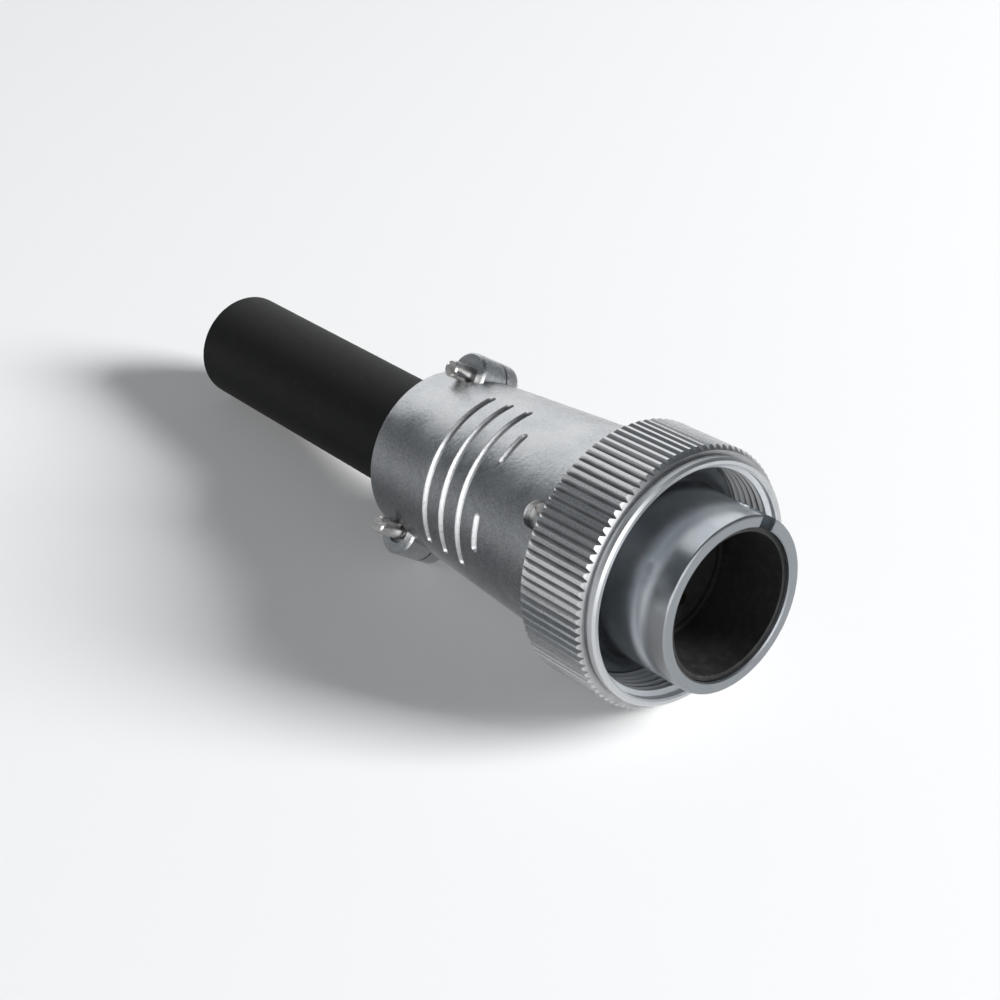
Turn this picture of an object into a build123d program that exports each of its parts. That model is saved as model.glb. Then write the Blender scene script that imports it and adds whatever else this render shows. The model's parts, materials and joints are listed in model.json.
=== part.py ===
from build123d import *
import os
from math import cos, degrees, pi, radians, sin, sqrt

# Circular cable connector with a knurled coupling nut, in millimetres.
# Each piece is drawn round the connector's own axis: +Z points out of the front and the front rim is at Z = 0.
# X points to the lower lug of the cable clamp and +Y to the clamp saddle.
# Stations are distances behind the front rim. At the end the whole connector is laid on its side on the floor.

# Coupling nut
nut_thread_diameter = 44.0
nut_wall = 3.0
nut_length = 17.4
nut_shoulder_thickness = 3.5
nut_shoulder_width = 3.5
nut_play = 0.3
nut_running_clearance = 0.08
lip_step = 1.6
lip_length = 2.0
lip_edge = 0.45
lip_relief_width = 0.35
lip_relief_depth = 0.35
mouth_edge = 0.3
knurl_teeth = 92
knurl_depth = 0.7
knurl_crest_share = 0.34
knurl_front_chamfer = 0.8
knurl_rear_chamfer = 0.6

# Plug shell
mating_gap = 5.4
rim_wall = 2.3
rim_edge_radius = 0.5
flange_gap = 1.1
flange_station = 19.3
flange_thickness = 3.2
flange_land = 0.9
hub_step = 0.5
shell_thread_length = 9.0
shell_rear_wall = 2.4
key_slot_width = 3.8
key_slot_length = 7.0
key_slot_angle = 183.3

# Washer, gasket and retaining ring
washer_thickness = 0.8
washer_play = 0.4
washer_rim_gap = 0.5
washer_bore_gap = 0.2
gasket_thickness = 1.1
gasket_width = 1.4
ring_thickness = 2.0
ring_width = 2.2
ring_notch = 2.0

# Insulators and contacts
cup_wall = 0.9
cup_lip_station = 0.9
cup_floor_thickness = 4.0
cup_ledge = 0.9
cup_ledge_height = 0.7
insulator_seat_depth = 0.7
insulator_collar_length = 4.0
rear_insulator_length = 7.0
fit_gap = 0.05
contact_count_outer = 6
contact_circle_diameter = 15.6
contact_diameter = 4.0
contact_entry_diameter = 3.0
contact_entry_depth = 1.2
contact_collar_diameter = 5.6
contact_collar_length = 1.4
contact_bore_diameter = 2.5
contact_bore_depth = 6.0
contact_slot_width = 0.4
solder_cup_length = 6.5
solder_cup_bore = 2.8
contact_tail_length = 9.0

# Back shell
back_thread_wall = 3.0
back_taper = 0.0688
back_length = 53.5
back_front_edge = 0.5
back_rear_edge = 0.6
back_rear_wall = 2.3
collar_length = 11.5
collar_step = 0.2
groove_count = 4
groove_setback = 18.3
groove_pitch = 5.3
groove_width = 1.8
groove_depth = 0.75
groove_half_sweep = 51.0
bare_patch_half_sweep = 16.5
short_groove_half_sweep = 34.0
set_screw_setback = 4.1
set_screw_diameter = 5.0
set_screw_recess = 1.5
set_screw_mouth = 0.4
set_screw_bite = 1.4
set_screw_slot_angle = 35

# Cable clamp
lug_to_rear = 6.65
lug_sink = 0.93
lug_radius = 4.6
lug_near_reach = 7.8
lug_far_reach = 2.6
lug_edge = 0.4
saddle_lug_edge = 0.9
split_offset = 1.5
split_gap = 0.35
grip_rib_height = 3.34
grip_rib_width = 2.2
grip_rib_count = 2
grip_rib_pitch = 5.2
grip_gap = 0.05
screw_head_diameter = 3.4
screw_head_height = 5.8
screw_head_edge = 0.3
screw_slot_width = 0.7
screw_slot_depth = 0.8
screw_shank_diameter = 2.5
screw_shank_length = 9.2
screw_clearance = 0.2
spot_face_diameter = 5.0
spot_face_depth = 1.0
upper_screw_lift = 0.0
upper_screw_slot_angle = 25
lower_screw_lift = 1.1
lower_screw_slot_angle = -20

# Cable sleeve
sleeve_wall = 2.93
sleeve_bend_setback = 1.0
sleeve_bend_length = 12.0
sleeve_tail_length = 56.2
sleeve_lean = 1.83
sleeve_lean_angle = -127.7
sleeve_edge = 0.9
sleeve_collar_gap = 0.62
sleeve_collar_thickness = 3.0

# Radii, worked out from the nut's thread outwards and inwards
nut_bore_radius = nut_thread_diameter / 2
nut_radius = nut_bore_radius + nut_wall
lip_radius = nut_radius - lip_step
rim_radius = nut_bore_radius - mating_gap
rim_bore_radius = rim_radius - rim_wall
flange_radius = nut_bore_radius - flange_gap
cove_radius = flange_radius - rim_radius - flange_land
hub_radius = nut_bore_radius - nut_shoulder_width
shell_thread_radius = hub_radius - hub_step
rear_bore_radius = shell_thread_radius - shell_rear_wall
cup_radius = rim_bore_radius - fit_gap
insulator_radius = rear_bore_radius - fit_gap
back_front_radius = shell_thread_radius + back_thread_wall
cavity_front_radius = shell_thread_radius - gasket_width

# Stations, worked out from the flange rearwards
flange_rear_station = flange_station + flange_thickness
insulator_seat_station = flange_station + insulator_seat_depth
cup_floor_station = insulator_seat_station - cup_floor_thickness
front_insulator_end = insulator_seat_station + insulator_collar_length
rear_insulator_end = front_insulator_end + rear_insulator_length
shoulder_station = flange_rear_station + washer_thickness + washer_play
nut_rear_station = shoulder_station + nut_shoulder_thickness
nut_front_station = nut_rear_station - nut_length
back_front_station = nut_rear_station + nut_play
shell_rear_station = back_front_station + shell_thread_length
gasket_seat_station = shell_rear_station + gasket_thickness
set_screw_station = back_front_station + set_screw_setback
groove_first_station = back_front_station + groove_setback
back_rear_station = back_front_station + back_length
collar_station = back_rear_station - collar_length
lug_station = back_rear_station - lug_to_rear
sleeve_bend_station = back_rear_station + sleeve_bend_setback


def back_radius(station):
    """Outer radius of the tapered back shell at a station ahead of the clamp collar."""
    return back_front_radius - (station - back_front_station) * back_taper


def collar_radius(station):
    """Outer radius of the clamp collar, a small step inside the taper."""
    return back_radius(station) - collar_step


# Clamp and sleeve, worked out from the collar
cavity_rear_radius = collar_radius(back_rear_station) - back_rear_wall
lug_offset = collar_radius(lug_station) - lug_sink
grip_radius = cavity_rear_radius - grip_rib_height
sleeve_radius = grip_radius - grip_gap
sleeve_bore_radius = sleeve_radius - sleeve_wall
sleeve_collar_radius = cavity_rear_radius - sleeve_collar_gap
sleeve_bend_radius = sleeve_bend_length / radians(sleeve_lean)


def turned(points):
    """Solid of revolution from (radius, station) points."""
    outline = Polyline([(radius, 0, -station) for radius, station in points], close=True)
    return revolve(make_face(outline), axis=Axis.Z)


def turned_ring(outer, inner, front, rear):
    """Plain ring between two stations."""
    return turned([(inner, front), (outer, front), (outer, rear), (inner, rear)])


def rod(radius, front, rear, x=0.0, y=0.0):
    """Round bar parallel to the connector's axis."""
    return Pos(x, y, -(front + rear) / 2) * Cylinder(radius, abs(rear - front))


def cross_rod(radius, start, end, x, station):
    """Round bar parallel to Y, from one Y value to another."""
    return Pos(x, (start + end) / 2, -station) * Rot(90, 0, 0) * Cylinder(radius, abs(end - start))


def edges_at_radius(part, radius, station):
    """Circular edges of a turned part that have this radius and lie at this station."""
    found = part.edges().filter_by(GeomType.CIRCLE)
    found = found.filter_by(lambda edge: abs(edge.radius - radius) < 0.01)
    return found.filter_by(lambda edge: abs(edge.arc_center.Z + station) < 0.01)


def contact_places():
    """Centre contact first, then the ring of contacts."""
    places = [(0.0, 0.0)]
    for index in range(contact_count_outer):
        angle = 2 * pi * index / contact_count_outer
        places.append((contact_circle_diameter / 2 * cos(angle), contact_circle_diameter / 2 * sin(angle)))
    return places


def build_plug_shell():
    """Barrel, cove, flange, hub and rear thread in one turned piece, with the keyway through the rim."""
    shell = turned([
        (rim_bore_radius, 0),
        (rim_radius, 0),
        (rim_radius, flange_station),
        (flange_radius, flange_station),
        (flange_radius, flange_rear_station),
        (hub_radius, flange_rear_station),
        (hub_radius, back_front_station),
        (shell_thread_radius, back_front_station),
        (shell_thread_radius, shell_rear_station),
        (rear_bore_radius, shell_rear_station),
        (rear_bore_radius, insulator_seat_station),
        (rim_bore_radius, insulator_seat_station),
    ])
    shell = fillet(edges_at_radius(shell, rim_radius, flange_station), cove_radius)
    shell = fillet(edges_at_radius(shell, rim_radius, 0), rim_edge_radius)
    shell = chamfer(edges_at_radius(shell, rim_bore_radius, 0), rim_edge_radius / 2)
    shell = chamfer(edges_at_radius(shell, flange_radius, flange_station), rim_edge_radius / 2)
    shell = chamfer(edges_at_radius(shell, shell_thread_radius, shell_rear_station), rim_edge_radius)
    slot = Pos(rim_radius, 0, 0) * Box(2 * rim_wall + 2, key_slot_width, 2 * key_slot_length - key_slot_width)
    slot_end = Pos(rim_radius, 0, -(key_slot_length - key_slot_width / 2))
    slot += slot_end * Rot(0, 90, 0) * Cylinder(key_slot_width / 2, 2 * rim_wall + 2)
    shell -= Rot(0, 0, key_slot_angle) * slot
    bite = shell_thread_radius - set_screw_bite
    return shell - cross_rod(set_screw_diameter / 2 + fit_gap, -hub_radius, -bite, 0, set_screw_station)


def knurl_outline():
    """Toothed outline of the nut: flat crests with a vee cut between them."""
    root_radius = nut_radius - knurl_depth
    pitch = 2 * pi / knurl_teeth
    points = []
    for tooth in range(knurl_teeth):
        middle = tooth * pitch
        half_crest = pitch * knurl_crest_share / 2
        for radius, angle in (
            (nut_radius, middle - half_crest),
            (nut_radius, middle + half_crest),
            (root_radius, middle + pitch / 2),
        ):
            points.append((radius * cos(angle), radius * sin(angle)))
    return make_face(Polyline(points, close=True))


def build_coupling_nut():
    """Knurled barrel, plain lip, threaded bore and the inner shoulder that bears behind the flange."""
    knurl_front = nut_front_station + lip_length
    blank = turned([
        (nut_bore_radius + mouth_edge, nut_front_station),
        (lip_radius - lip_edge, nut_front_station),
        (lip_radius, nut_front_station + lip_edge),
        (lip_radius, knurl_front - lip_relief_width),
        (lip_radius - lip_relief_depth, knurl_front - lip_relief_width),
        (lip_radius - lip_relief_depth, knurl_front),
        (nut_radius - knurl_front_chamfer, knurl_front),
        (nut_radius, knurl_front + knurl_front_chamfer),
        (nut_radius, nut_rear_station - knurl_rear_chamfer),
        (nut_radius - knurl_rear_chamfer, nut_rear_station),
        (hub_radius + nut_running_clearance, nut_rear_station),
        (hub_radius + nut_running_clearance, shoulder_station),
        (nut_bore_radius, shoulder_station),
        (nut_bore_radius, nut_front_station + mouth_edge),
    ])
    toothed = Pos(0, 0, -nut_rear_station) * extrude(knurl_outline(), amount=nut_length)
    return blank & toothed


def build_thrust_washer():
    """Flat washer behind the flange, for the nut's shoulder to pull on."""
    return turned_ring(
        nut_bore_radius - washer_rim_gap,
        hub_radius + washer_bore_gap,
        flange_rear_station,
        flange_rear_station + washer_thickness,
    )


def build_front_insulator():
    """Black cup inside the barrel, with entry holes for the contacts in its floor."""
    inner = cup_radius - cup_wall
    body = turned([
        (0, cup_floor_station),
        (inner - cup_ledge, cup_floor_station),
        (inner - cup_ledge, cup_floor_station - cup_ledge_height),
        (inner, cup_floor_station - cup_ledge_height),
        (inner, cup_lip_station),
        (cup_radius, cup_lip_station),
        (cup_radius, insulator_seat_station),
        (insulator_radius, insulator_seat_station),
        (insulator_radius, front_insulator_end),
        (0, front_insulator_end),
    ])
    for x, y in contact_places():
        body -= rod(contact_entry_diameter / 2, cup_floor_station - 1, front_insulator_end, x, y)
        socket_front = cup_floor_station + contact_entry_depth
        body -= rod(contact_diameter / 2 + fit_gap, socket_front, front_insulator_end + 1, x, y)
    return body


def build_rear_insulator():
    """Disc that traps the contacts' collars against the front insulator."""
    body = rod(insulator_radius, front_insulator_end, rear_insulator_end)
    collar_end = front_insulator_end + contact_collar_length
    for x, y in contact_places():
        body -= rod(contact_diameter / 2 + fit_gap, front_insulator_end - 1, rear_insulator_end + 1, x, y)
        body -= rod(contact_collar_diameter / 2 + fit_gap, front_insulator_end - 1, collar_end, x, y)
    return body


def build_retaining_ring():
    """Ring behind the insulators, with two spanner notches."""
    rear = rear_insulator_end + ring_thickness
    ring = turned_ring(insulator_radius, insulator_radius - ring_width, rear_insulator_end, rear)
    notch = Box(2 * insulator_radius + 2, ring_notch, ring_thickness)
    return ring - Pos(0, 0, -rear) * notch


def build_contact(x, y):
    """Socket contact: slotted socket in front, collar, and a solder cup cut open on one side."""
    front = cup_floor_station + contact_entry_depth
    collar_front = front_insulator_end
    collar_rear = collar_front + contact_collar_length
    tail_end = rear_insulator_end + contact_tail_length
    contact = rod(contact_diameter / 2, front, tail_end)
    contact += rod(contact_collar_diameter / 2, collar_front, collar_rear)
    contact -= rod(contact_bore_diameter / 2, front - 1, front + contact_bore_depth)
    contact -= Pos(0, 0, -front) * Box(contact_diameter + 1, contact_slot_width, contact_bore_depth)
    contact -= rod(solder_cup_bore / 2, tail_end - solder_cup_length, tail_end + 1)
    open_side = Pos(0, contact_diameter / 2, -tail_end + solder_cup_length / 4)
    contact -= open_side * Box(contact_diameter + 1, contact_diameter, solder_cup_length)
    return Pos(x, y, 0) * contact


def build_shell_gasket():
    """Rubber ring between the plug shell's rear end and the seat inside the back shell."""
    return turned_ring(
        shell_thread_radius,
        shell_thread_radius - gasket_width,
        shell_rear_station,
        gasket_seat_station,
    )


def collar_walls():
    """Whole clamp collar before it is parted: outer wall and the grip ribs that bite the sleeve."""
    wall = turned([
        (cavity_rear_radius, collar_station),
        (collar_radius(collar_station), collar_station),
        (collar_radius(back_rear_station), back_rear_station),
        (cavity_rear_radius, back_rear_station),
    ])
    wall = fillet(edges_at_radius(wall, collar_radius(back_rear_station), back_rear_station), back_rear_edge)
    for index in range(grip_rib_count):
        middle = lug_station + (index - (grip_rib_count - 1) / 2) * grip_rib_pitch
        front = middle - grip_rib_width / 2
        wall += turned_ring(cavity_rear_radius + fit_gap, grip_radius, front, front + grip_rib_width)
    return wall


def clamp_half(near):
    """Block that covers one side of the parted clamp, over the collar's length."""
    span = 8 * nut_radius
    if near:
        return Pos(0, -split_offset - span / 2, 0) * Box(span, span, span * 2)
    far_start = -split_offset + split_gap
    return Pos(0, far_start + span / 2, 0) * Box(span, span, span * 2)


def lug(side, start, end, edge, edge_at_start):
    """Round lug beside the collar, from one Y value to another, with one softened end."""
    body = cross_rod(lug_radius, start, end, side * lug_offset, lug_station)
    ends = body.edges().filter_by(GeomType.CIRCLE).sort_by(Axis.Y)
    softened = ends[0] if edge_at_start else ends[-1]
    body = chamfer(softened, edge) if edge_at_start else fillet(softened, edge)
    return body - rod(cavity_rear_radius, collar_station - 1, back_rear_station + 1)


def groove(station, from_angle, to_angle):
    """Round-bottomed cut round part of the taper, fading out at both ends."""
    radius = back_radius(station)
    tool_radius = groove_width / 2
    centre = radius + tool_radius - groove_depth
    start = Plane(
        origin=(centre * cos(radians(from_angle)), centre * sin(radians(from_angle)), -station),
        x_dir=(cos(radians(from_angle)), sin(radians(from_angle)), 0),
        z_dir=(-sin(radians(from_angle)), cos(radians(from_angle)), 0),
    )
    section = start * Circle(tool_radius)
    cutter = revolve(section, axis=Axis.Z, revolution_arc=to_angle - from_angle)
    for angle in (from_angle, to_angle):
        end = Pos(centre * cos(radians(angle)), centre * sin(radians(angle)), -station)
        cutter += end * Sphere(tool_radius)
    return cutter


def build_back_shell():
    """Tapered casting: thread seat, wiring cavity, grip grooves, near half of the clamp and its two lugs."""
    thread_bore = shell_thread_radius + fit_gap
    shell = turned([
        (thread_bore, back_front_station),
        (back_front_radius, back_front_station),
        (back_radius(collar_station), collar_station),
        (cavity_rear_radius, collar_station),
        (cavity_front_radius, gasket_seat_station),
        (thread_bore, gasket_seat_station),
    ])
    shell = fillet(edges_at_radius(shell, back_front_radius, back_front_station), back_front_edge)
    for index in range(groove_count):
        station = groove_first_station + index * groove_pitch
        if index == 0:
            shell -= groove(station, -90 - short_groove_half_sweep, -90 - bare_patch_half_sweep)
            shell -= groove(station, -90 + bare_patch_half_sweep, -90 + short_groove_half_sweep)
        else:
            shell -= groove(station, -90 - groove_half_sweep, -90 + groove_half_sweep)
    near = collar_walls() & clamp_half(True)
    for side in (-1, 1):
        near += lug(side, -lug_near_reach, -split_offset, lug_edge, True)
    shell += near
    for side in (-1, 1):
        x = side * lug_offset
        hole_radius = screw_shank_diameter / 2 + screw_clearance
        shell -= cross_rod(hole_radius, -lug_near_reach - 1, 0, x, lug_station)
        shell -= cross_rod(spot_face_diameter / 2, -lug_near_reach - 1, -lug_near_reach + spot_face_depth, x, lug_station)
    outer = back_radius(set_screw_station)
    screw_radius = set_screw_diameter / 2
    shell -= cross_rod(screw_radius + fit_gap, -outer - 1, -rear_bore_radius, 0, set_screw_station)
    mouth = Pos(0, -outer, -set_screw_station) * Rot(90, 0, 0)
    return shell - mouth * Cone(screw_radius, screw_radius + 2 * set_screw_mouth, 2 * set_screw_mouth)


def build_clamp_saddle():
    """Far half of the clamp, with a tapped lug at each side."""
    saddle = collar_walls() & clamp_half(False)
    start = -split_offset + split_gap
    for side in (-1, 1):
        saddle += lug(side, start, lug_far_reach, saddle_lug_edge, False)
    for side in (-1, 1):
        hole_radius = screw_shank_diameter / 2 + fit_gap
        saddle -= cross_rod(hole_radius, start - 1, lug_far_reach + 1, side * lug_offset, lug_station)
    return saddle


def build_clamp_screw(side, lift, slot_angle):
    """Slotted screw with a tall slim head, driven in from the near side."""
    seat = -lug_near_reach + spot_face_depth - lift
    top = seat - screw_head_height
    x = side * lug_offset
    screw = cross_rod(screw_head_diameter / 2, top, seat, x, lug_station)
    rim = screw.edges().filter_by(GeomType.CIRCLE).sort_by(Axis.Y)[0]
    screw = chamfer(rim, screw_head_edge)
    screw += cross_rod(screw_shank_diameter / 2, seat, seat + screw_shank_length, x, lug_station)
    slot = Box(screw_slot_width, 2 * screw_slot_depth, screw_head_diameter + 1)
    return screw - Pos(x, top, -lug_station) * Rot(0, slot_angle, 0) * slot


def build_set_screw():
    """Headless slotted screw that bears on the plug shell's rear thread."""
    bottom = -(shell_thread_radius - set_screw_bite + fit_gap)
    top = -(back_radius(set_screw_station) - set_screw_recess)
    screw = cross_rod(set_screw_diameter / 2, top, bottom, 0, set_screw_station)
    slot = Box(screw_slot_width, 2 * screw_slot_depth, set_screw_diameter + 1)
    return screw - Pos(0, top, -set_screw_station) * Rot(0, set_screw_slot_angle, 0) * slot


def sleeve_bend_axis():
    """Axis that the sleeve's gentle bend behind the clamp turns round."""
    lean = radians(sleeve_lean_angle)
    centre = (sleeve_bend_radius * cos(lean), sleeve_bend_radius * sin(lean), -sleeve_bend_station)
    return Axis(centre, (sin(lean), -cos(lean), 0))


def build_cable_sleeve():
    """Rubber tube with a collar that stops it behind the clamp's ribs, and a slight lean behind the clamp."""
    collar_rear = lug_station - (grip_rib_count - 1) / 2 * grip_rib_pitch - grip_rib_width / 2
    collar_front = collar_rear - sleeve_collar_thickness
    gripped = turned([
        (sleeve_bore_radius, collar_front),
        (sleeve_collar_radius, collar_front),
        (sleeve_collar_radius, collar_rear),
        (sleeve_radius, collar_rear),
        (sleeve_radius, sleeve_bend_station),
        (sleeve_bore_radius, sleeve_bend_station),
    ])
    section = Plane.XY.offset(-sleeve_bend_station) * (Circle(sleeve_radius) - Circle(sleeve_bore_radius))
    bend = revolve(section, axis=sleeve_bend_axis(), revolution_arc=sleeve_lean)
    end = sleeve_bend_station + sleeve_tail_length
    tail = turned_ring(sleeve_radius, sleeve_bore_radius, sleeve_bend_station, end)
    tail = fillet(edges_at_radius(tail, sleeve_radius, end), sleeve_edge)
    tail = chamfer(edges_at_radius(tail, sleeve_bore_radius, end), sleeve_edge / 2)
    return gripped + bend + tail.rotate(sleeve_bend_axis(), sleeve_lean)


def ring_depth(centre, radius, axis, down):
    """How far a round edge reaches in the direction down, from the front rim's centre."""
    tilted = axis.dot(down)
    return centre.dot(down) + radius * sqrt(1 - tilted * tilted)


def down_direction(tilt, roll):
    """The direction of down in the connector's own axes, for a tilt of its axis and a roll about it."""
    return Vector(cos(roll) * cos(tilt), sin(roll) * cos(tilt), -sin(tilt))


def nut_depth(down):
    """Depth of the nut's rear heel."""
    heel = Vector(0, 0, -(nut_rear_station - knurl_rear_chamfer))
    return ring_depth(heel, nut_radius, Vector(0, 0, 1), down)


def lug_depth(down):
    """Depth of the lower lug of the saddle, at its rounded far edge."""
    edge = Vector(lug_offset, lug_far_reach - saddle_lug_edge, -lug_station)
    return ring_depth(edge, lug_radius - saddle_lug_edge, Vector(0, 1, 0), down) + saddle_lug_edge


def sleeve_depth(down):
    """Depth of the sleeve's rounded end."""
    end = Vertex(0, 0, -(sleeve_bend_station + sleeve_tail_length - sleeve_edge))
    end = Vector(end.rotate(sleeve_bend_axis(), sleeve_lean).center())
    along = Vector(0, 0, 1).rotate(Axis((0, 0, 0), sleeve_bend_axis().direction), sleeve_lean)
    return ring_depth(end, sleeve_radius - sleeve_edge, along, down) + sleeve_edge


def halved(falls, low, high):
    """Angle where a quantity that falls with the angle goes through zero."""
    for _ in range(40):
        middle = (low + high) / 2
        if falls(middle) > 0:
            low = middle
        else:
            high = middle
    return (low + high) / 2


def resting_roll(tilt):
    """Roll at which the nut's heel and the lower lug reach equally deep."""

    def lug_over_nut(roll):
        down = down_direction(tilt, roll)
        return lug_depth(down) - nut_depth(down)

    return halved(lug_over_nut, radians(5), radians(85))


def resting_tilt():
    """Tilt at which the nut, the lower lug and the sleeve's end all touch the floor."""

    def sleeve_short_of_floor(tilt):
        down = down_direction(tilt, resting_roll(tilt))
        return nut_depth(down) - sleeve_depth(down)

    return halved(sleeve_short_of_floor, radians(0), radians(20))


def resting_frame():
    """Plane that turns the connector's own axes into the way it lies: front towards +X, floor level."""
    tilt = resting_tilt()
    roll = resting_roll(tilt)
    return Plane(
        origin=(0, 0, 0),
        x_dir=(cos(roll) * sin(tilt), -sin(roll), -cos(roll) * cos(tilt)),
        z_dir=(cos(tilt), 0, sin(tilt)),
    )


def nut_rest_turn():
    """Turn in degrees that puts two neighbouring crests of the knurl on the floor."""
    return degrees(resting_roll(resting_tilt())) - 180 / knurl_teeth


def build_pieces():
    """All pieces by name, still in the connector's own axes."""
    pieces = {
        "plug_shell": build_plug_shell(),
        "coupling_nut": Rot(0, 0, nut_rest_turn()) * build_coupling_nut(),
        "thrust_washer": build_thrust_washer(),
        "front_insulator": build_front_insulator(),
        "rear_insulator": build_rear_insulator(),
        "retaining_ring": build_retaining_ring(),
        "shell_gasket": build_shell_gasket(),
        "back_shell": build_back_shell(),
        "set_screw": build_set_screw(),
        "clamp_saddle": build_clamp_saddle(),
        "clamp_screw_upper": build_clamp_screw(-1, upper_screw_lift, upper_screw_slot_angle),
        "clamp_screw_lower": build_clamp_screw(1, lower_screw_lift, lower_screw_slot_angle),
        "cable_sleeve": build_cable_sleeve(),
    }
    for number, (x, y) in enumerate(contact_places(), start=1):
        pieces[f"contact_{number}"] = build_contact(x, y)
    return pieces


pieces = build_pieces()
lying = resting_frame().location
pieces = {name: lying * piece for name, piece in pieces.items()}
boxes = [piece.bounding_box() for piece in pieces.values()]
middle_x = (min(box.min.X for box in boxes) + max(box.max.X for box in boxes)) / 2
middle_y = (min(box.min.Y for box in boxes) + max(box.max.Y for box in boxes)) / 2
to_floor = Pos(-middle_x, -middle_y, -min(box.min.Z for box in boxes))
os.makedirs("parts", exist_ok=True)
for name, piece in pieces.items():
    export_step(to_floor * piece, f"parts/{name}.step")
rim_centre = (to_floor * lying).position
print("tilt", round(degrees(resting_tilt()), 4), "roll", round(degrees(resting_roll(resting_tilt())), 4))
print("rim centre", [round(value, 4) for value in rim_centre])
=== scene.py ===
import json
from math import cos, pi, radians, sin

import bpy
from mathutils import Matrix, Vector


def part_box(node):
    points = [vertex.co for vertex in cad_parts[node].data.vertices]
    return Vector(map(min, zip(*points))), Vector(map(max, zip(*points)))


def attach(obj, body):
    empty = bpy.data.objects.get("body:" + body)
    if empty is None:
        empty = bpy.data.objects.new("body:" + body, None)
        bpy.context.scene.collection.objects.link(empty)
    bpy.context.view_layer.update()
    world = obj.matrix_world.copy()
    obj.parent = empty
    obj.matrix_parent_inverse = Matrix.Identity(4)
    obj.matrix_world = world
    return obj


# The circular connector as it is seen in the photograph.
# The solids come from the frame. This file gives them their finish, adds the nut's fine thread, and sets
# the floor, the lamps and the camera. Lengths are in metres, in the frame's own axes.

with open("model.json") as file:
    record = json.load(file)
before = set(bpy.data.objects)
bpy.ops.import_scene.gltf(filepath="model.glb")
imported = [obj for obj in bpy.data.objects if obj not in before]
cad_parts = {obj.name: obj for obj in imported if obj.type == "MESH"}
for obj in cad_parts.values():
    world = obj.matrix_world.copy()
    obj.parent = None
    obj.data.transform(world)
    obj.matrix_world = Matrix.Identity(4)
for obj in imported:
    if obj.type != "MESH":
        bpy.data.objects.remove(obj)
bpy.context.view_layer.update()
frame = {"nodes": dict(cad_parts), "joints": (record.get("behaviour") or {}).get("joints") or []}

MM = 0.001

# Middle of the coupling nut and ends of its thread, behind the front rim
NUT_MIDDLE = 18.5 * MM
NUT_THREAD_START = 10.5 * MM
NUT_THREAD_END = 23.6 * MM

# Thread of the coupling nut: its foot goes a little into the wall of the bore, and its top is flat
THREAD_PITCH = 1.5 * MM
THREAD_BORE_RADIUS = 22.0 * MM
THREAD_DEPTH = 0.8 * MM
THREAD_TOP_WIDTH = 0.35 * MM
THREAD_FOOT = 0.03 * MM
THREAD_STEPS_PER_TURN = 96
THREAD_EDGE_ANGLE = radians(20)

# Outside of the back shell, in millimetres: the place and radius of its front end, and the fall of the radius
# per millimetre of length. Places along the connector count from the front rim, below zero behind it.
SHELL_FRONT = -27.5
SHELL_FRONT_RADIUS = 21.0
SHELL_TAPER = 0.0688

# Where a look starts to show and is full, in millimetres along the connector, from its axis or, for the
# grooves' depths, under the casting's surface. With four numbers it fades from the third to the fourth.
GROOVE_DEPTHS = (0.04, 0.2, 0.9, 1.1)
GROOVES_BAND = (-64.8, -64.6, -44.4, -44.2)
NUT_CREST = (24.35, 24.95)
NUT_LIP_OUTSIDE = (23.38, 23.5)
NUT_MOUTH_WALL = (22.2, 22.3)
NUT_THREAD_WALL = (22.1, 22.3)
NUT_MOUTH_BACK = (-13.2, -12.4)
# Bands along the barrel for its painted highlight and for painted shade at its rim end
BARREL_PAINTED_HIGHLIGHT_BAND = (-8.6, -6.8, -5.8, -4.4)
BARREL_PAINTED_SHADE_END = (-4.8, -3.6)
BARREL_NICKED_END = (-1.6, -0.1)
BARREL_FACE = (-0.35, -0.2)

# Sides of the connector, as X and Y in its own axes, on which painted shade and painted highlights go
CASTING_PAINTED_SHADE_SIDE = (0.42, -0.91)
BARREL_PAINTED_LIGHT_SIDE = (0.75, -0.66)

# Camera, worked out from the circular edges of the rim, the nut, the back shell and the sleeve
CAMERA_PLACE = Vector((0.237957, -0.206508, 0.210594))
CAMERA_AIM = Vector((-0.621834, 0.571278, -0.535691))
CAMERA_ROLL = radians(5.016)
CAMERA_NEAR = 0.01
CAMERA_FAR = 20.0
FOCAL_PIXELS = 1860.9
PICTURE_PIXELS = 1000
SENSOR_WIDTH = 36.0

# Lamps: all face one place, and the panels that the metal mirrors stand nearer to it than the key
LAMP_AIM = Vector((0.0, 0.0, 0.02))
PANEL_DISTANCE = 1.2
KEY_DISTANCE = 3.0

# Floor: its side, and how much of it glows where the camera or a mirror sees it
FLOOR_SIZE = 12.0
FLOOR_GLOW = 0.18

# World: heights of a direction between which the horizon's colour gives way to the one overhead
SKY_BLEND = (0.1, 0.5)

# Sockets of a Mix node that blends two colours
MIX_AMOUNT = 0
MIX_FIRST = 6
MIX_SECOND = 7
MIX_RESULT = 2


def middle(name):
    """Middle of one solid's box."""
    return sum((Vector(corner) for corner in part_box(name)), Vector()) / 2


def connector_axes():
    """Matrix from the connector's own axes to the frame.

    Z points out of the front and X to the lower lug, and zero is the middle of the front rim.
    """
    hinge = frame["joints"][0]
    forward = Vector(hinge["axis"]).normalized()
    rim = Vector(hinge["pos_m"]) + forward * NUT_MIDDLE
    # Of the ring of contacts, contact_2 is the nearest to the lower lug and contact_5 is across from it
    across = (middle("contact_2") - middle("contact_5")).normalized()
    third = forward.cross(across)
    turn = Matrix((across, third, forward)).transposed().to_4x4()
    return Matrix.Translation(rim) @ turn


CONNECTOR = connector_axes()


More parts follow.
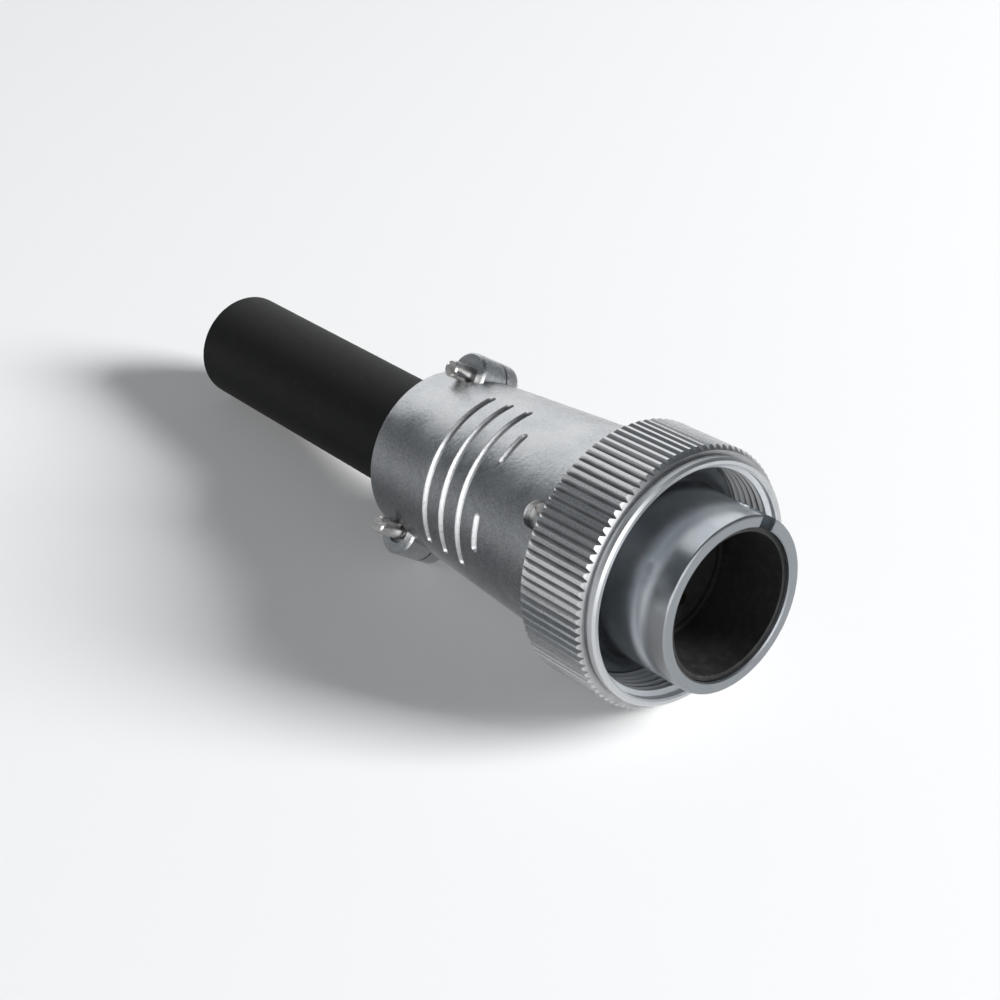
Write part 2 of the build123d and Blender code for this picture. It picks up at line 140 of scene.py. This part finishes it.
class Value:
    """A number or colour that varies over a surface, with arithmetic that adds Math nodes."""

    def __init__(self, finish, socket):
        self.finish = finish
        self.socket = socket

    def math(self, operation, *others):
        return self.finish.node("ShaderNodeMath", {"operation": operation}, [self, *others])

    def __add__(self, other):
        return self.math("ADD", other)

    def __sub__(self, other):
        return self.math("SUBTRACT", other)

    def __mul__(self, other):
        return self.math("MULTIPLY", other)

    def __truediv__(self, other):
        return self.math("DIVIDE", other)

    def __rsub__(self, other):
        return self.finish.node("ShaderNodeMath", {"operation": "SUBTRACT"}, [other, self])

    __radd__ = __add__
    __rmul__ = __mul__

    def between(self, low, high):
        """0 below low, 1 above high, and a soft step from one to the other."""
        settings = {"interpolation_type": "SMOOTHSTEP", "clamp": True}
        sockets = {"Value": self, "From Min": low, "From Max": high}
        return self.finish.node("ShaderNodeMapRange", settings, sockets)

    def within(self, low, full_from, full_to, high):
        """1 from full_from to full_to, 0 below low and above high, and soft steps between them."""
        return self.between(low, full_from) * (1.0 - self.between(full_to, high))


class Finish:
    """A material or world under construction: its nodes, and the last one, which they feed."""

    def __init__(self, owner, last="Principled BSDF"):
        self.owner = owner
        self.owner.use_nodes = True
        self.tree = self.owner.node_tree
        self.last = self.tree.nodes[last]

    def node(self, kind, settings=None, sockets=None, output=0):
        """Adds a node, sets it, fills or links its sockets and gives back one of its outputs."""
        made = self.tree.nodes.new(kind)
        for key, value in (settings or {}).items():
            setattr(made, key, value)
        pairs = sockets.items() if isinstance(sockets, dict) else enumerate(sockets or [])
        for key, value in pairs:
            self.fill(made.inputs[key], value)
        return Value(self, made.outputs[output])

    def fill(self, socket, value):
        """Links a varying value to a socket, or sets the socket to a plain one."""
        if isinstance(value, Value):
            self.tree.links.new(value.socket, socket)
        else:
            socket.default_value = value

    def feed(self, **sockets):
        """Fills the sockets of the last node, named with underscores for spaces."""
        for key, value in sockets.items():
            self.fill(self.last.inputs[key.replace("_", " ")], value)
        return self.owner

    def place(self):
        """Place in the connector's own axes, in millimetres."""
        inverse = CONNECTOR.inverted()
        sockets = {
            "Vector": self.node("ShaderNodeTexCoord", output="Object"),
            "Location": inverse.translation / MM,
            "Rotation": inverse.to_euler("XYZ"),
            "Scale": (1 / MM, 1 / MM, 1 / MM),
        }
        return self.node("ShaderNodeMapping", None, sockets)

    def split(self, vector):
        """X, Y and Z of a vector."""
        parts = self.node("ShaderNodeSeparateXYZ", None, [vector])
        return [Value(self, socket) for socket in parts.socket.node.outputs]

    def noise(self, place, scale, detail, roughness):
        """Cloudy pattern from 0 to 1. The scale is in features per millimetre."""
        sockets = {"Vector": place, "Scale": scale, "Detail": detail, "Roughness": roughness}
        return self.node("ShaderNodeTexNoise", None, sockets, "Fac")

    def turning(self, radius, z, stretch, scale):
        """Marks of the lathe: a pattern that changes only outwards and along the connector."""
        rings = self.node("ShaderNodeCombineXYZ", None, [radius * stretch, z * stretch, 0.0])
        return self.noise(rings, scale, detail=2.0, roughness=0.6)

    def blend(self, amount, first, second):
        """Colour that goes from the first to the second."""
        sockets = {MIX_AMOUNT: amount, MIX_FIRST: first, MIX_SECOND: second}
        return self.node("ShaderNodeMix", {"data_type": "RGBA"}, sockets, MIX_RESULT)

    def bump(self, height, depth, strength, normal=None):
        """Surface relief. The height goes from 0 to 1 and the depth is in metres."""
        sockets = {"Height": height, "Distance": depth, "Strength": strength}
        if normal:
            sockets["Normal"] = normal
        return self.node("ShaderNodeBump", None, sockets, "Normal")


def grey(level, warmth=0.0):
    """Neutral colour, a little warm or, below zero, a little blue."""
    return (level * (1 + warmth), level, level * (1 - warmth), 1.0)


def radius_of(x, y):
    """Distance from the connector's axis."""
    return (x * x + y * y).math("SQRT")


def towards(side, x, y):
    """Nearness to one side of the connector: 1 on it, 0 a quarter turn away and -1 across from it."""
    return (x * side[0] + y * side[1]) / radius_of(x, y)


def die_cast_finish():
    """Satin plating over a casting: mottling, dark pits, a fine grain, painted shade in mottled patches on
    one flank, and painted highlights and painted shade in the grooves.
    """
    paint = Finish(bpy.data.materials.new("satin plated casting"))
    place = paint.place()
    x, y, z = paint.split(place)
    cloud = paint.noise(place, scale=0.16, detail=3.0, roughness=0.55)
    patches = paint.noise(place, scale=0.06, detail=4.0, roughness=0.6)
    pits = paint.noise(place, scale=2.4, detail=3.0, roughness=0.7)
    spots = paint.noise(place, scale=1.1, detail=4.0, roughness=0.6)
    grain = paint.noise(place, scale=5.5, detail=2.0, roughness=0.6)
    side = towards(CASTING_PAINTED_SHADE_SIDE, x, y) + patches
    # Painted shade: one flank of the casting is darkened in mottled patches, in place of the dark
    # surroundings that it mirrors.
    painted_flank_shade = side.between(1.1, 1.5) * (0.15 + 1.15 * pits)
    depth = SHELL_FRONT_RADIUS + (z - SHELL_FRONT) * SHELL_TAPER - radius_of(x, y)
    groove = depth.within(*GROOVE_DEPTHS) * z.within(*GROOVES_BAND)
    # Painted light in the grooves: a painted highlight on that flank, and painted shade on the other sides.
    groove_painted_light = paint.blend(side.between(0.9, 1.4), grey(0.24, -0.02), grey(0.85, -0.01))
    colour = paint.blend(cloud.between(0.3, 0.7), grey(0.46, -0.03), grey(0.54, -0.012))
    colour = paint.blend(painted_flank_shade, colour, grey(0.17, -0.05))
    colour = paint.blend(groove, colour, groove_painted_light)
    colour = paint.blend(spots.between(0.58, 0.72) * 0.4, colour, grey(0.34, -0.03))
    colour = paint.blend(pits.between(0.6, 0.7) * 0.6, colour, grey(0.16, -0.02))
    rough = 0.2 + 0.08 * cloud + 0.07 * grain + 0.14 * groove
    relief = paint.bump(grain, depth=0.08 * MM, strength=0.6)
    relief = paint.bump(spots, depth=0.15 * MM, strength=0.5, normal=relief)
    return paint.feed(Base_Color=colour, Metallic=1.0, Roughness=rough, Normal=relief)


def knurled_nut_finish():
    """Plated nut: polished crests, duller valleys, a bright mouth and fine turning marks."""
    paint = Finish(bpy.data.materials.new("plated knurled nut"))
    place = paint.place()
    x, y, z = paint.split(place)
    radius = radius_of(x, y)
    cloud = paint.noise(place, scale=0.25, detail=3.0, roughness=0.55)
    grain = paint.noise(place, scale=4.0, detail=3.0, roughness=0.6)
    turning = paint.turning(radius, z, stretch=3.0, scale=2.2)
    crest = radius.between(*NUT_CREST)
    lip = 1.0 - radius.between(*NUT_LIP_OUTSIDE)
    in_front = z.between(*NUT_MOUTH_BACK)
    mouth = (1.0 - radius.between(*NUT_MOUTH_WALL)) * in_front
    threaded = (1.0 - radius.between(*NUT_THREAD_WALL)) * (1.0 - in_front)
    valley = paint.blend(cloud.between(0.3, 0.7), grey(0.34, -0.02), grey(0.43, -0.01))
    colour = paint.blend(crest, valley, grey(0.56, -0.01))
    colour = paint.blend(lip, colour, grey(0.58, -0.02))
    colour = paint.blend(mouth, colour, grey(0.9, -0.03))
    colour = paint.blend(threaded, colour, grey(0.40, -0.01))
    rough = 0.34 - 0.1 * crest + 0.08 * grain + 0.05 * lip + 0.1 * mouth
    relief = paint.bump(turning, depth=0.02 * MM, strength=0.3)
    relief = paint.bump(grain, depth=0.03 * MM, strength=0.3, normal=relief)
    return paint.feed(Base_Color=colour, Metallic=1.0, Roughness=rough, Normal=relief)


def barrel_finish():
    """Cool satin plating of the plug shell with nicks at the rim, and on one side painted shade, a painted
    highlight band and painted shade at the rim end.
    """
    paint = Finish(bpy.data.materials.new("satin plated barrel"))
    place = paint.place()
    x, y, z = paint.split(place)
    cloud = paint.noise(place, scale=0.2, detail=3.0, roughness=0.5)
    turning = paint.turning(radius_of(x, y), z, stretch=2.0, scale=2.0)
    nicks = paint.noise(place, scale=1.6, detail=5.0, roughness=0.65).between(0.63, 0.7)
    nicks = nicks * z.between(*BARREL_NICKED_END)
    side = towards(BARREL_PAINTED_LIGHT_SIDE, x, y) + cloud
    # On one side of the barrel: a painted highlight band round it, and painted shade towards the rim end
    painted_highlight_band = side.between(0.9, 1.3) * z.within(*BARREL_PAINTED_HIGHLIGHT_BAND)
    painted_shade_end = side.between(0.8, 1.4) * z.between(*BARREL_PAINTED_SHADE_END)
    face = z.between(*BARREL_FACE)
    colour = paint.blend(cloud.between(0.3, 0.7), grey(0.46, -0.07), grey(0.54, -0.045))
    # Painted shade on the flank, then the painted highlight band, then painted shade at the rim end
    colour = paint.blend(side.between(1.1, 1.5) * 0.6, colour, grey(0.24, -0.09))
    colour = paint.blend(painted_highlight_band * 0.9, colour, grey(0.88, -0.03))
    colour = paint.blend(painted_shade_end * 0.7, colour, grey(0.16))
    colour = paint.blend(nicks, colour, grey(0.25))
    colour = paint.blend(face, colour, grey(0.33, -0.06))
    rough = 0.2 + 0.06 * cloud + 0.05 * turning + 0.2 * face
    relief = paint.bump(turning, depth=0.02 * MM, strength=0.25)
    relief = paint.bump(nicks, depth=0.08 * MM, strength=-0.5, normal=relief)
    return paint.feed(Base_Color=colour, Metallic=1.0, Roughness=rough, Normal=relief)


def screw_finish():
    """Bright steel of the screws and the washer."""
    paint = Finish(bpy.data.materials.new("bright screw steel"))
    place = paint.place()
    cloud = paint.noise(place, scale=0.9, detail=3.0, roughness=0.6)
    grain = paint.noise(place, scale=7.0, detail=2.0, roughness=0.5)
    colour = paint.blend(cloud.between(0.35, 0.7), grey(0.66, 0.04), grey(0.8, 0.03))
    rough = 0.26 + 0.1 * grain
    relief = paint.bump(grain, depth=0.02 * MM, strength=0.3)
    return paint.feed(Base_Color=colour, Metallic=1.0, Roughness=rough, Normal=relief)


def rubber_finish():
    """Matte black rubber with faint lines along its length and a little dust."""
    paint = Finish(bpy.data.materials.new("black rubber"))
    place = paint.place()
    x, y, z = paint.split(place)
    drawn = paint.node("ShaderNodeCombineXYZ", None, [x, y, z * 0.03])
    lines = paint.noise(drawn, scale=2.4, detail=3.0, roughness=0.6)
    grain = paint.noise(place, scale=6.0, detail=3.0, roughness=0.6)
    dust = paint.noise(place, scale=0.35, detail=4.0, roughness=0.6)
    colour = paint.blend(dust.between(0.5, 0.8), grey(0.005), grey(0.012, 0.02))
    rough = 0.48 + 0.12 * dust + 0.08 * lines
    relief = paint.bump(lines, depth=0.03 * MM, strength=0.3)
    relief = paint.bump(grain, depth=0.04 * MM, strength=0.35, normal=relief)
    return paint.feed(Base_Color=colour, Roughness=rough, Normal=relief, Specular_IOR_Level=0.18)


def insulator_finish():
    """Black moulded insulator with a pitted, slightly dusty surface."""
    paint = Finish(bpy.data.materials.new("black insulator"))
    place = paint.place()
    grain = paint.noise(place, scale=3.2, detail=4.0, roughness=0.65)
    dust = paint.noise(place, scale=0.6, detail=4.0, roughness=0.6)
    colour = paint.blend(dust.between(0.35, 0.8), grey(0.016), grey(0.030, 0.01))
    rough = 0.48 + 0.2 * grain
    relief = paint.bump(grain, depth=0.05 * MM, strength=0.4)
    return paint.feed(Base_Color=colour, Roughness=rough, Normal=relief, Specular_IOR_Level=0.25)


def brass_finish():
    """Plated brass of the contacts."""
    paint = Finish(bpy.data.materials.new("contact brass"))
    grain = paint.noise(paint.place(), scale=2.5, detail=3.0, roughness=0.6)
    colour = paint.blend(grain.between(0.3, 0.7), (0.62, 0.45, 0.20, 1), (0.76, 0.60, 0.32, 1))
    return paint.feed(Base_Color=colour, Metallic=1.0, Roughness=0.2 + 0.12 * grain)


def finish_solids():
    """Gives every solid of the frame its finish. The contacts, which the table leaves out, are of brass."""
    casting = die_cast_finish()
    screw = screw_finish()
    rubber = rubber_finish()
    insulator = insulator_finish()
    brass = brass_finish()
    finishes = {
        "coupling_nut": knurled_nut_finish(),
        "plug_shell": barrel_finish(),
        "back_shell": casting,
        "clamp_saddle": casting,
        "retaining_ring": casting,
        "set_screw": screw,
        "clamp_screw_upper": screw,
        "clamp_screw_lower": screw,
        "thrust_washer": screw,
        "cable_sleeve": rubber,
        "shell_gasket": rubber,
        "front_insulator": insulator,
        "rear_insulator": insulator,
    }
    for name, solid in frame["nodes"].items():
        for slot in solid.material_slots:
            slot.material = finishes.get(name, brass)
    return finishes


def select_only(piece):
    """Makes one piece the only selected and active one."""
    bpy.ops.object.select_all(action="DESELECT")
    piece.select_set(True)
    bpy.context.view_layer.objects.active = piece


def lay_down(piece):
    """Moves a piece that was made round the connector's own axes to its place in the frame."""
    select_only(piece)
    piece.matrix_world = CONNECTOR @ piece.matrix_world
    bpy.ops.object.transform_apply(location=True, rotation=True, scale=True)


def nut_thread(material):
    """Fine internal thread: a flat-topped ridge wound round the nut's bore."""
    outer = THREAD_BORE_RADIUS + THREAD_FOOT
    inner = THREAD_BORE_RADIUS - THREAD_DEPTH
    profile = [
        (outer, THREAD_PITCH / 2),
        (inner, THREAD_TOP_WIDTH / 2),
        (inner, -THREAD_TOP_WIDTH / 2),
        (outer, -THREAD_PITCH / 2),
    ]
    bpy.ops.object.select_all(action="DESELECT")
    bpy.ops.mesh.primitive_circle_add(
        vertices=len(profile), radius=THREAD_PITCH / 2, fill_type="NGON", location=(0, 0, 0)
    )
    ridge = bpy.context.active_object
    ridge.name = "nut_thread"
    first = -NUT_THREAD_END + THREAD_PITCH / 2
    for vertex, (radius, height) in zip(ridge.data.vertices, profile):
        vertex.co = (radius, 0.0, first + height)
    turns = (NUT_THREAD_END - NUT_THREAD_START) / THREAD_PITCH - 1
    winding = ridge.modifiers.new("wind", "SCREW")
    winding.axis = "Z"
    winding.angle = 2 * pi * turns
    winding.screw_offset = THREAD_PITCH * turns
    winding.steps = int(THREAD_STEPS_PER_TURN * turns)
    winding.render_steps = winding.steps
    select_only(ridge)
    bpy.ops.object.modifier_apply(modifier=winding.name)
    bpy.ops.object.mode_set(mode="EDIT")
    bpy.ops.mesh.select_all(action="SELECT")
    bpy.ops.mesh.fill_holes(sides=len(profile))
    bpy.ops.mesh.select_all(action="SELECT")
    bpy.ops.mesh.normals_make_consistent(inside=False)
    bpy.ops.object.mode_set(mode="OBJECT")
    bpy.ops.object.shade_smooth_by_angle(angle=THREAD_EDGE_ANGLE)
    lay_down(ridge)
    ridge.data.materials.append(material)
    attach(ridge, "nut")


def floor_finish():
    """Pale floor that reads as white to the camera and in reflections, and still takes the shadow."""
    paint = Finish(bpy.data.materials.new("pale floor"), "Material Output")
    rays = paint.node("ShaderNodeLightPath", output="Is Camera Ray")
    seen = rays
    for name in ("Is Glossy Ray", "Is Transmission Ray"):
        seen = seen.math("MAXIMUM", Value(paint, rays.socket.node.outputs[name]))
    glow = paint.node("ShaderNodeEmission", None, {"Color": grey(1.0), "Strength": 1.0})
    lit = paint.node("ShaderNodeBsdfDiffuse", None, {"Color": grey(0.8)})
    return paint.feed(Surface=paint.node("ShaderNodeMixShader", None, [seen * FLOOR_GLOW, lit, glow]))


def add_floor():
    """Large flat floor under the connector."""
    bpy.ops.object.select_all(action="DESELECT")
    bpy.ops.mesh.primitive_plane_add(size=FLOOR_SIZE, location=(0, 0, 0))
    floor = bpy.context.active_object
    floor.name = "floor"
    floor.data.materials.append(floor_finish())


def add_softbox(name, azimuth, elevation, size, brightness, distance=PANEL_DISTANCE):
    """Rectangular lamp that faces the connector. Angles are in degrees from X and from the floor."""
    turn = radians(azimuth)
    rise = radians(elevation)
    outward = Vector((cos(turn) * cos(rise), sin(turn) * cos(rise), sin(rise)))
    lamp = bpy.data.lights.new(name, "AREA")
    lamp.shape = "RECTANGLE"
    lamp.size, lamp.size_y = size
    lamp.energy = brightness * pi * size[0] * size[1]
    holder = bpy.data.objects.new(name, lamp)
    holder.location = LAMP_AIM + outward * distance
    holder.rotation_euler = outward.to_track_quat("Z", "Y").to_euler()
    bpy.context.scene.collection.objects.link(holder)
    return holder


def light_studio():
    """A key that casts the shadow, and panels for the metal to mirror, at the far left and in front."""
    key = add_softbox(
        "key", azimuth=42, elevation=29, size=(1.125, 1.125), brightness=48.0, distance=KEY_DISTANCE
    )
    key.visible_glossy = False
    panels = [
        add_softbox("far left panel", azimuth=158, elevation=30, size=(1.5, 1.2), brightness=1.1),
        add_softbox("front panel", azimuth=-28, elevation=30, size=(1.4, 0.8), brightness=3.1),
        add_softbox("low front panel", azimuth=-76, elevation=8, size=(1.5, 0.5), brightness=1.8),
    ]
    for panel in panels:
        panel.visible_diffuse = False


def surround():
    """World that is pale at the horizon and darker overhead, so that the metal keeps its contrast."""
    sky = Finish(bpy.data.worlds.new("studio"), "Background")
    height = sky.split(sky.node("ShaderNodeTexCoord", output="Generated"))[2]
    colour = sky.blend(height.between(*SKY_BLEND), grey(0.32, -0.04), grey(0.12, -0.12))
    bpy.context.scene.world = sky.feed(Color=colour, Strength=1.0)


def place_camera():
    """Camera at the photograph's angle."""
    camera = bpy.data.cameras.new("camera")
    camera.sensor_width = SENSOR_WIDTH
    camera.lens = FOCAL_PIXELS / PICTURE_PIXELS * SENSOR_WIDTH
    camera.clip_start = CAMERA_NEAR
    camera.clip_end = CAMERA_FAR
    holder = bpy.data.objects.new("camera", camera)
    bpy.context.scene.collection.objects.link(holder)
    level = CAMERA_AIM.to_track_quat("-Z", "Y").to_matrix().to_4x4()
    holder.matrix_world = Matrix.Translation(CAMERA_PLACE) @ level @ Matrix.Rotation(CAMERA_ROLL, 4, "Z")
    bpy.context.scene.camera = holder


finishes = finish_solids()
nut_thread(finishes["coupling_nut"])
add_floor()
light_studio()
surround()
place_camera()
bpy.context.scene.view_settings.view_transform = "Standard"
